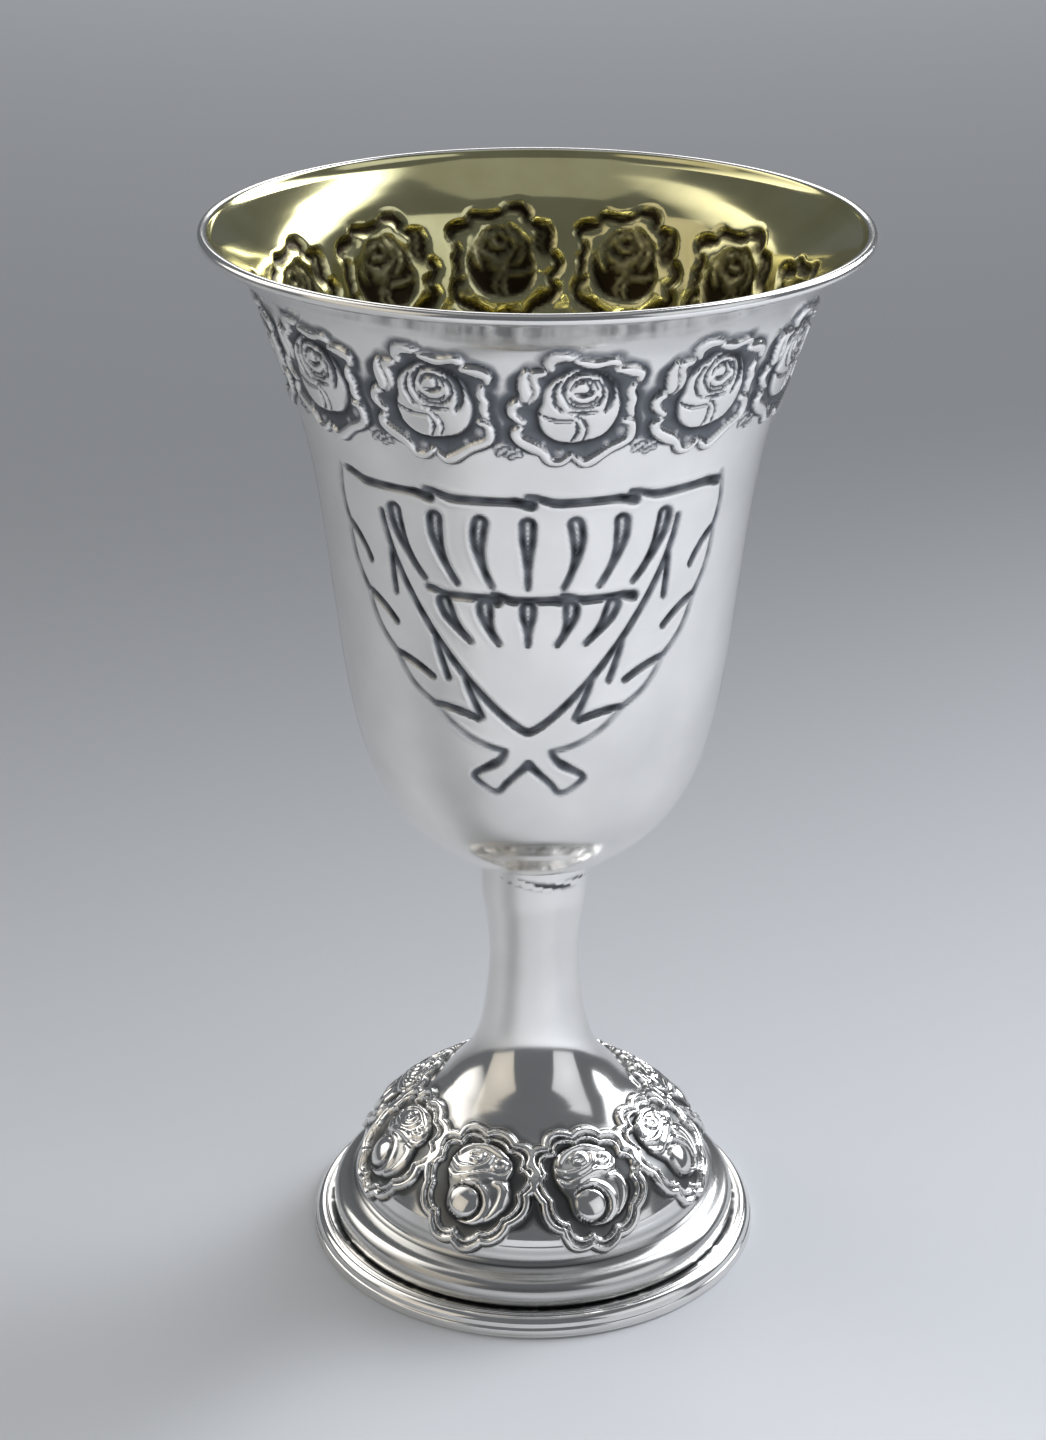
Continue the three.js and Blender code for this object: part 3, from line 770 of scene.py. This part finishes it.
def foot_rings():
    """The foot's rings, from the inner edge of its band out and up over the dome and stem, and
    back down inside."""
    outside = outline(FOOT_KNOTS, 0.0, 0.2)
    dome = outside[outside[:, 1] <= DOME_TO]
    stem = outside[outside[:, 1] > DOME_TO][::4]
    band = curve(BAND_KNOTS, 4)
    heading = np.gradient(band, axis=0)
    heading /= np.hypot(*heading.T)[:, None]
    band = np.column_stack([band, heading[:, 1], -heading[:, 0]])
    collar = [(NECK_RADIUS, height, 1, 0) for height in np.linspace(46.8, SOLDER_HEIGHT, 22)]
    inside = outline(FOOT_KNOTS, -FOOT_SHEET, 1.2)[::-1]
    inner_radius = BAND_RADIUS - FOOT_SHEET
    cove = [(23.2, 5.5, -1, 0), (inner_radius, BAND_TOP - FOOT_SHEET / 2, -1, 0)]
    return (
        rings([(inner_radius, RING_HEIGHT, 0, -1)], even(180))
        + rings(band, even(240))
        + rings(dome[1:], even(640))
        + rings(stem, even(160))
        + rings(collar, even(160))
        + rings([(NECK_RADIUS - FOOT_SHEET, SOLDER_HEIGHT, 0, 1)], even(60))
        + rings(inside, even(96))
        + rings(cove, even(96))
    )


def foot_relief(angle, base):
    """Relief of the foot: its roses, and below them the fine lines of spinning, which are sines
    up the sheet. The inside is left plain. Grime lies along the ragged seam with the base wire
    and in the crease under the dome, and flux has left streaks round the top of the stem. The
    band, the cove and the lowest part of the dome are darkened in bands: grime in the cove, and
    painted shade on the dome below the roses."""
    sheet = outline(FOOT_KNOTS, 0.0, 0.1)
    run = run_of(sheet)
    r, z = base[:, 0], base[:, 1]
    outer = r > np.interp(z, sheet[:, 1], sheet[:, 0]) - FOOT_SHEET / 3
    height, tarnish = np.zeros((2, len(r)))
    dome = np.flatnonzero(outer & (z > DOME_FROM) & (z < DOME_TO))
    up = np.interp(z[dome], sheet[:, 1], run) - np.interp(FOOT_ROSES["height"], sheet[:, 1], run)
    height[dome], tarnish[dome] = wreath(angle[dome], r[dome], up, FOOT_ROSES, FOOT_DIE)
    spun = np.sin(5.2 * up + 0.8 * np.sin(2 * angle[dome])) + 0.6 * np.sin(9.1 * up + 2)
    height[dome] += SPUN_DEPTH * spun * between(-4.5, -6.5, up) * between(-8.6, -8.2, up)

    ragged = 0.12 * np.sin(37 * angle) * np.cos(23 * angle + 1) + 0.06 * np.sin(91 * angle)
    seam = between(2.85, 2.6, z + ragged) * (r > 25)
    crease = 0.7 * np.exp(-((np.hypot(r - 22.9, z - 6.65) / 0.22) ** 2))
    # Grime and painted shade: the band, the cove and the lowest part of the dome are darkened in
    # bands, grime in the cove and painted shade on the dome's foot.
    banded_grime_and_shade = between(9.6, 7.4, z) * (r > 21) * (0.24 + 0.12 * np.sin(5.5 * z + 1.5 * np.sin(angle)))
    streak = np.sin(2 * angle + 0.9) + 0.8 * np.sin(9 * angle + 5 * z)
    streak += 0.4 * np.sin(23 * angle - 7 * z)
    middle = 50.3 - 0.5 * np.sin(2 * angle + 0.3)
    flux = between(0.3, 1.1, streak) * np.exp(-(((z - middle) / 0.55) ** 2)) * (r > 6)
    tarnish = np.maximum.reduce([tarnish, SEAM_GRIME * seam, crease, banded_grime_and_shade, 0.8 * flux])
    return height, {"tarnish": tarnish}


foot = turned(foot_rings(), foot_relief, "stem_and_foot_shell", closes=True)

# Silver that was spun and then buffed on a wheel: the clearest mirror, over the most uneven sheet.
GRIME_THIN = "#6D6E6E"
foot.data.materials.append(silver("sterling_silver_bright", 0.1, 0.1, 0.0004, GRIME_THIN))
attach(foot, "root")
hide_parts("stem_and_foot")

# ---------------------------------------------------------------------------------------------
# Base ring. A moulded wire of solid silver, soldered round the edge of the foot.
# ---------------------------------------------------------------------------------------------
BASE_RADIUS = millimetres(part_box("base_ring")[1][0])
RING_WIDTH = 3.8


def wire_rings():
    """The wire's rings: inner wall, flat underside, stepped edge, round bead and the flat that
    the band stands on. The underside lies on the table, so nothing is lower."""
    inner = BASE_RADIUS - RING_WIDTH
    section = curve([
        (inner, 0.15), (inner + 0.15, 0), (BASE_RADIUS - 0.3, 0), (BASE_RADIUS, 0.3),
        (BASE_RADIUS, 1.0), (27.9, 1.25), (27.85, 1.4), (27.75, 1.9), (27.3, 2.35), (26.9, 2.45),
        (26.7, 2.4), (26.5, 2.55), (26.2, 2.45),
        (inner + 0.15, RING_HEIGHT - 0.1), (inner, RING_HEIGHT - 0.25)], 4)
    section[:, 1] = np.clip(section[:, 1], 0, None)
    no_relief = np.zeros_like(section)
    return rings(np.hstack([section, no_relief]), even(240))


def wire_grime(angle, base):
    """No relief. Grime fills the seam between the wire and the band of the foot."""
    ragged = 0.15 * np.sin(29 * angle + 2) * np.cos(17 * angle) + 0.08 * np.sin(83 * angle)
    seam = between(26.1, 25.8, base[:, 0] + ragged) * between(1.5, 2.2, base[:, 1])
    return np.zeros(len(angle)), {"tarnish": SEAM_GRIME * seam}


wire = turned(wire_rings(), wire_grime, "base_wire", closes=True)

# Solid silver drawn through a plate and buffed: as clear a mirror, and the straightest one.
wire.data.materials.append(silver("sterling_silver_wire", 0.1, 0.1, 0.0001, GRIME_THIN))
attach(wire, "root")
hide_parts("base_ring")

# ---------------------------------------------------------------------------------------------
# Table. A wide sheet of pale grey paper lies under the cup. It is matt, so it takes the cup's
# soft shadow and no reflection. Lengths from here on are metres.
# ---------------------------------------------------------------------------------------------
TABLE_SIZE = 4.0
PAPER_GREY = "#D4D6DA"

table_mesh = bpy.data.meshes.new("table")
half = TABLE_SIZE / 2
table_mesh.from_pydata(
    [(-half, -half, 0), (half, -half, 0), (half, half, 0), (-half, half, 0)], [], [(0, 1, 2, 3)])
table = bpy.data.objects.new("table", table_mesh)
bpy.context.scene.collection.objects.link(table)
paper, tree = new_material("matt_paper")
shader = node(tree, "ShaderNodeBsdfPrincipled", {"Base Color": linear(PAPER_GREY), "Roughness": 0.9})
node(tree, "ShaderNodeOutputMaterial", {"Surface": shader.outputs["BSDF"]})
table_mesh.materials.append(paper)

# ---------------------------------------------------------------------------------------------
# Lights. Two soft boxes stand to the right and left of the cup and aim in front of it, so that
# the silver mirrors them as bright flanks while most of their light falls on the near paper. One
# behind lights the far paper, a weak one above reaches into the bowl, and two reflectors in front
# fill in the sides.
# ---------------------------------------------------------------------------------------------
def soft_light(name, place, aim, size, spread, power, colour):
    """A square soft box at place, turned to aim, of a size in metres, a power in watts, and a
    spread in degrees that its light keeps within."""
    lamp = bpy.data.lights.new(name, "AREA")
    lamp.size = size
    lamp.spread = np.radians(spread)
    lamp.energy = power
    lamp.color = linear(colour)[:3]
    box = bpy.data.objects.new(name, lamp)
    box.location = place
    box.rotation_euler = Vector(np.subtract(aim, place)).to_track_quat("-Z", "Y").to_euler()
    bpy.context.scene.collection.objects.link(box)


soft_light("soft_box_right", (0.56, 0.1, 0.5), (0.08, -0.66, 0.0), 0.7, 83, 4.6, "#F7FAFF")
soft_light("soft_box_left", (-0.6, -0.12, 0.52), (-0.06, -0.58, 0.0), 0.85, 86, 1.2, "#FFFCF5")
soft_light("soft_box_behind", (0.0, 1.5, 0.9), (0.0, 1.2, 0.0), 1.0, 180, 5.8, "#FFFFFF")
soft_light("soft_box_above", (0.0, -0.05, 0.9), (0.0, 0.0, 0.0), 0.6, 180, 0.22, "#FFFFFF")
soft_light("reflector_right", (0.8, -0.5, 0.42), (0.0, 0.0, 0.06), 0.8, 120, 0.6, "#F7FAFF")
soft_light("reflector_left", (-0.8, -0.5, 0.42), (0.0, 0.0, 0.06), 0.8, 120, 0.5, "#FFF4E0")

# A dim grey room gives the silver its mid greys.
ROOM_GREY = "#84888D"
ROOM_STRENGTH = 0.58
world = bpy.data.worlds.new("grey_room")
bpy.context.scene.world = world
world.use_nodes = True
world.node_tree.nodes["Background"].inputs["Color"].default_value = linear(ROOM_GREY)
world.node_tree.nodes["Background"].inputs["Strength"].default_value = ROOM_STRENGTH

# ---------------------------------------------------------------------------------------------
# Camera. It stands close, and looks down into the mouth of the cup. Angles are in degrees.
# ---------------------------------------------------------------------------------------------
CAMERA_PLACE = (0.0, -0.3241, 0.2112)
CAMERA_LENS = 73.7
LOOKS_DOWN = 23.659
LOOKS_LEFT = 0.2577
LEANS = 0.1553

camera_data = bpy.data.cameras.new("camera")
camera_data.lens = CAMERA_LENS
camera = bpy.data.objects.new("camera", camera_data)
camera.matrix_world = (
    Matrix.Translation(CAMERA_PLACE)
    @ Matrix.Rotation(np.radians(LOOKS_LEFT), 4, "Z")
    @ Matrix.Rotation(np.radians(90 - LOOKS_DOWN), 4, "X")
    @ Matrix.Rotation(np.radians(LEANS), 4, "Z")
)
bpy.context.scene.collection.objects.link(camera)
bpy.context.scene.camera = camera
bpy.context.scene.view_settings.view_transform = "Standard"
